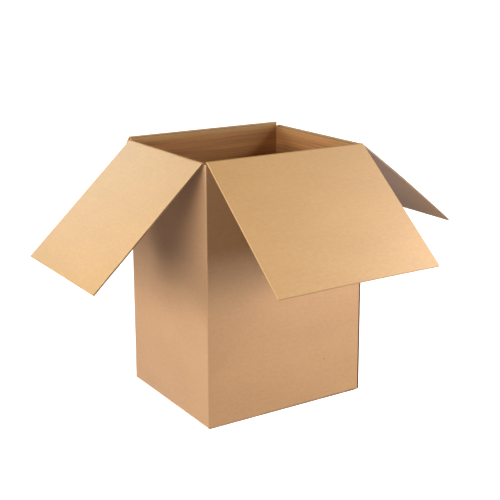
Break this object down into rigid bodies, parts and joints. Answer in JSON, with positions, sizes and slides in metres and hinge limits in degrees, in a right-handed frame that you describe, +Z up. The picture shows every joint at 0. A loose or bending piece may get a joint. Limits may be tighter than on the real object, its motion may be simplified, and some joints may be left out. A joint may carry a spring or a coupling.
{
  "type": "open cardboard box",
  "caption": "Tall corrugated cardboard shipping box, open at the top, with long full-overlap top flaps on creases, a closed flat bottom and a glued corner seam.",
  "frame": {"origin": "middle of the underside, on the surface that the box stands on", "axes": "+Z up, -Y out of the front panel, -X out of the left panel"},
  "size_m": [0.8098, 0.7196, 0.5091],
  "materials": {
    "kraft_board": "uncoated brown kraft liner, matte, with fine fibre streaks"
  },
  "bodies": {
    "box": {"box_body": "kraft_board"},
    "flap_left": {"flap_left": "kraft_board"},
    "flap_front": {"flap_front": "kraft_board"},
    "flap_right": {"flap_right": "kraft_board"},
    "flap_back": {"flap_back": "kraft_board"}
  },
  "joints": [
    {"name": "crease_left", "type": "hinge", "parent": "box", "child": "flap_left", "pos_m": [-0.176, 0, 0.503], "axis": [0, 1, 0], "range_deg": [-36.7, 226.66]},
    {"name": "crease_front", "type": "hinge", "parent": "box", "child": "flap_front", "pos_m": [0, -0.15, 0.5061], "axis": [-1, 0, 0], "range_deg": [-40, 220]},
    {"name": "crease_right", "type": "hinge", "parent": "box", "child": "flap_right", "pos_m": [0.176, 0, 0.503], "axis": [0, -1, 0], "range_deg": [-42, 218]},
    {"name": "crease_back", "type": "hinge", "parent": "box", "child": "flap_back", "pos_m": [0, 0.15, 0.5092], "axis": [1, 0, 0], "range_deg": [-30, 230]}
  ]
}
